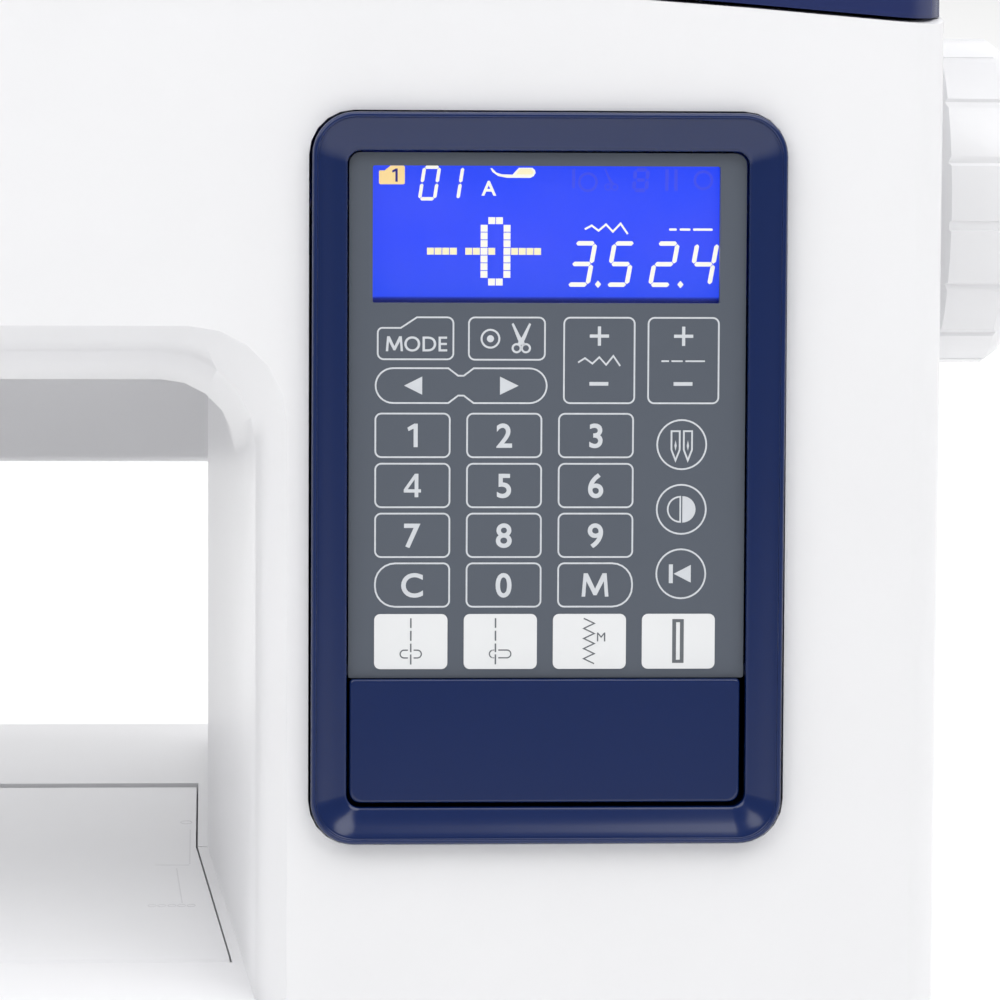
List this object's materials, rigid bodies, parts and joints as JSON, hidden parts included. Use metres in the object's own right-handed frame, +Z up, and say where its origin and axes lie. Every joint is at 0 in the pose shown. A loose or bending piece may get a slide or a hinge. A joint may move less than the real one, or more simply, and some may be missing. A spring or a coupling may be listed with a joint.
{
  "type": "sewing machine",
  "caption": "Free-arm computerised sewing machine with navy control panel, LCD, number keypad, hinged flap, moulded white casings and visible needle mechanism.",
  "frame": {"origin": "on the surface the machine stands on, under the middle of its bounding box in X and Y", "axes": "+X to the handwheel end (right of the sewer), +Y to the back, +Z up; the front faces -Y"},
  "size_m": [0.445, 0.2104, 0.292],
  "materials": {
    "white_plastic": "smooth satin-gloss ABS moulding",
    "navy_plastic": "satin-gloss navy moulding",
    "navy_gloss": "gloss navy moulding",
    "grey_plastic": "fine-textured moulding",
    "keypad_grey": "printed membrane, fine matt grain",
    "black_plastic": "matt moulding",
    "clear_plastic": "clear polycarbonate",
    "window": "clear acrylic",
    "lcd_blue": "backlit blue liquid-crystal display",
    "circuit_board": "solder-masked laminate",
    "rubber": "matt",
    "belt_rubber": "moulded belt",
    "steel": "brushed",
    "chrome": "polished plate",
    "cast_aluminium": "as cast"
  },
  "bodies": {
    "body": {"front_cover": "white_plastic", "rear_cover": "white_plastic", "face_cover": "white_plastic", "lid_hinge_pin": "steel", "top_deck": "white_plastic", "free_arm_cover": "white_plastic", "base_plate": "grey_plastic", "needle_plate": "steel", "rubber_foot_rear_right": "rubber", "rubber_foot_front_right": "rubber", "rubber_foot_rear_left": "rubber", "rubber_foot_front_left": "rubber", "machine_frame": "cast_aluminium", "timing_belt": "belt_rubber", "motor": "black_plastic", "motor_belt": "belt_rubber", "bobbin_case": "black_plastic", "lamp_lens": "clear_plastic", "button_panel": "navy_plastic", "panel_frame": "navy_gloss", "keypad": "keypad_grey", "lcd_window": "window", "lcd_module": "lcd_blue", "control_board": "circuit_board", "power_socket_block": "black_plastic", "spool_pin": "white_plastic", "bobbin_winder_stop": "white_plastic"},
    "lid": {"top_lid": "navy_plastic"},
    "main_shaft": {"upper_shaft": "steel", "handwheel": "white_plastic"},
    "lower_shaft": {"lower_shaft": "steel"},
    "motor_rotor": {"motor_pulley": "steel"},
    "hook": {"rotary_hook": "steel"},
    "bobbin": {"bobbin": "clear_plastic"},
    "needle_bar": {"needle_bar": "chrome", "needle_clamp": "steel", "needle_clamp_screw": "steel", "needle": "chrome"},
    "take_up": {"take_up_lever": "chrome"},
    "presser_bar": {"presser_bar": "chrome", "presser_foot_holder": "steel"},
    "presser_foot": {"presser_foot": "chrome"},
    "presser_lever": {"presser_foot_lever": "grey_plastic"},
    "buttonhole_lever": {"buttonhole_lever": "white_plastic"},
    "feed_dog": {"feed_dog": "steel"},
    "hook_cover": {"hook_cover_plate": "clear_plastic"},
    "hook_cover_latch": {"hook_cover_latch": "grey_plastic"},
    "table": {"extension_table": "white_plastic"},
    "tension_dial": {"tension_dial": "navy_plastic"},
    "speed_slider": {"speed_slider": "white_plastic"},
    "start_stop_button": {"start_stop_button": "white_plastic"},
    "reverse_button": {"reverse_button": "white_plastic"},
    "auto_lock_button": {"auto_lock_button": "white_plastic"},
    "needle_up_down_button": {"needle_up_down_button": "white_plastic"},
    "flap": {"panel_flap": "navy_gloss"},
    "power_switch": {"power_switch": "black_plastic"},
    "spool_cap": {"spool_cap": "white_plastic"},
    "winder_spindle": {"bobbin_winder_spindle": "steel"},
    "handle": {"carrying_handle": "white_plastic"}
  },
  "joints": [
    {"name": "lid_open", "type": "hinge", "parent": "body", "child": "lid", "pos_m": [0, 0.05946, 0.262], "axis": [-1, 0, 0], "range_deg": [0, 80]},
    {"name": "handwheel_turn", "type": "hinge", "parent": "body", "child": "main_shaft", "pos_m": [0, -0.0188, 0.21], "axis": [1, 0, 0], "continuous": true},
    {"name": "lower_shaft_turn", "type": "hinge", "parent": "body", "child": "lower_shaft", "pos_m": [0, -0.0188, 0.036], "axis": [1, 0, 0], "continuous": true},
    {"name": "motor_turn", "type": "hinge", "parent": "body", "child": "motor_rotor", "pos_m": [0.18, 0.0352, 0.074], "axis": [1, 0, 0], "continuous": true},
    {"name": "hook_turn", "type": "hinge", "parent": "body", "child": "hook", "pos_m": [-0.112, -0.0378, 0.05], "axis": [0, 0, 1], "continuous": true},
    {"name": "bobbin_turn", "type": "hinge", "parent": "body", "child": "bobbin", "pos_m": [-0.112, -0.0378, 0.06], "axis": [0, 0, 1], "continuous": true},
    {"name": "needle_stroke", "type": "slide", "parent": "body", "child": "needle_bar", "axis": [0, 0, -1], "range_m": [0, 0.03]},
    {"name": "take_up_swing", "type": "hinge", "parent": "body", "child": "take_up", "pos_m": [-0.102, -0.0468, 0.206], "axis": [1, 0, 0], "range_deg": [0, 42]},
    {"name": "presser_lift", "type": "slide", "parent": "body", "child": "presser_bar", "axis": [0, 0, -1], "range_m": [0, 0.0057]},
    {"name": "foot_tilt", "type": "hinge", "parent": "presser_bar", "child": "presser_foot", "pos_m": [-0.112, -0.0068, 0.0907], "axis": [1, 0, 0], "range_deg": [-8, 0]},
    {"name": "presser_lever_turn", "type": "hinge", "parent": "body", "child": "presser_lever", "pos_m": [-0.103, 0.0172, 0.151], "axis": [-1, 0, 0], "range_deg": [0, 40.5]},
    {"name": "buttonhole_lever_slide", "type": "slide", "parent": "body", "child": "buttonhole_lever", "axis": [0, 0, -1], "range_m": [0, 0.03]},
    {"name": "feed", "type": "slide", "parent": "body", "child": "feed_dog", "axis": [0, 1, 0], "range_m": [-0.0022, 0.0022]},
    {"name": "hook_cover_lift", "type": "slide", "parent": "body", "child": "hook_cover", "axis": [0, 0, -1], "range_m": [-0.005, 0]},
    {"name": "hook_cover_release", "type": "slide", "parent": "body", "child": "hook_cover_latch", "axis": [1, 0, 0], "range_m": [0, 0.0035], "stiffness_N_per_m": 100, "springref_m": -0.0005},
    {"name": "table_slide", "type": "slide", "parent": "body", "child": "table", "axis": [-1, 0, 0], "range_m": [0, 0.24]},
    {"name": "tension_dial_turn", "type": "hinge", "parent": "body", "child": "tension_dial", "pos_m": [-0.135, -0.0638, 0.216], "axis": [1, 0, 0], "range_deg": [-150, 150]},
    {"name": "speed_slide", "type": "slide", "parent": "body", "child": "speed_slider", "axis": [1, 0, 0], "range_m": [-0.02, 0.02]},
    {"name": "start_stop_press", "type": "slide", "parent": "body", "child": "start_stop_button", "axis": [0, 0.9903, -0.1392], "range_m": [0, 0.0015], "stiffness_N_per_m": 400, "springref_m": -0.0005},
    {"name": "reverse_press", "type": "slide", "parent": "body", "child": "reverse_button", "axis": [0, 0.9903, -0.1392], "range_m": [0, 0.0015], "stiffness_N_per_m": 400, "springref_m": -0.0005},
    {"name": "auto_lock_press", "type": "slide", "parent": "body", "child": "auto_lock_button", "axis": [0, 0.9903, -0.1392], "range_m": [0, 0.0015], "stiffness_N_per_m": 400, "springref_m": -0.0005},
    {"name": "needle_up_down_press", "type": "slide", "parent": "body", "child": "needle_up_down_button", "axis": [0, 0.9903, -0.1392], "range_m": [0, 0.0015], "stiffness_N_per_m": 400, "springref_m": -0.0005},
    {"name": "flap_open", "type": "hinge", "parent": "body", "child": "flap", "pos_m": [0.1357, -0.08815, 0.11525], "axis": [1, 0, 0], "range_deg": [0, 80]},
    {"name": "power_rocker", "type": "hinge", "parent": "body", "child": "power_switch", "pos_m": [0.203, 0.0692, 0.046], "axis": [0, 1, 0], "range_deg": [0, 12]},
    {"name": "spool_cap_slide", "type": "slide", "parent": "body", "child": "spool_cap", "axis": [-1, 0, 0], "range_m": [0, 0.02]},
    {"name": "winder_turn", "type": "hinge", "parent": "body", "child": "winder_spindle", "pos_m": [0.164, -0.0368, 0.24], "axis": [0, 0, 1], "continuous": true},
    {"name": "handle_swing", "type": "hinge", "parent": "body", "child": "handle", "pos_m": [0, 0.06876, 0.228], "axis": [-1, 0, 0], "range_deg": [-170, 0]}
  ],
  "couplings": [
    {"joint": "lower_shaft_turn", "follows": "handwheel_turn", "ratio": 1},
    {"joint": "hook_turn", "follows": "handwheel_turn", "ratio": 2},
    {"joint": "motor_turn", "follows": "handwheel_turn", "ratio": 4},
    {"joint": "presser_lever_turn", "follows": "presser_lift", "rad_per_m": 122.48}
  ]
}
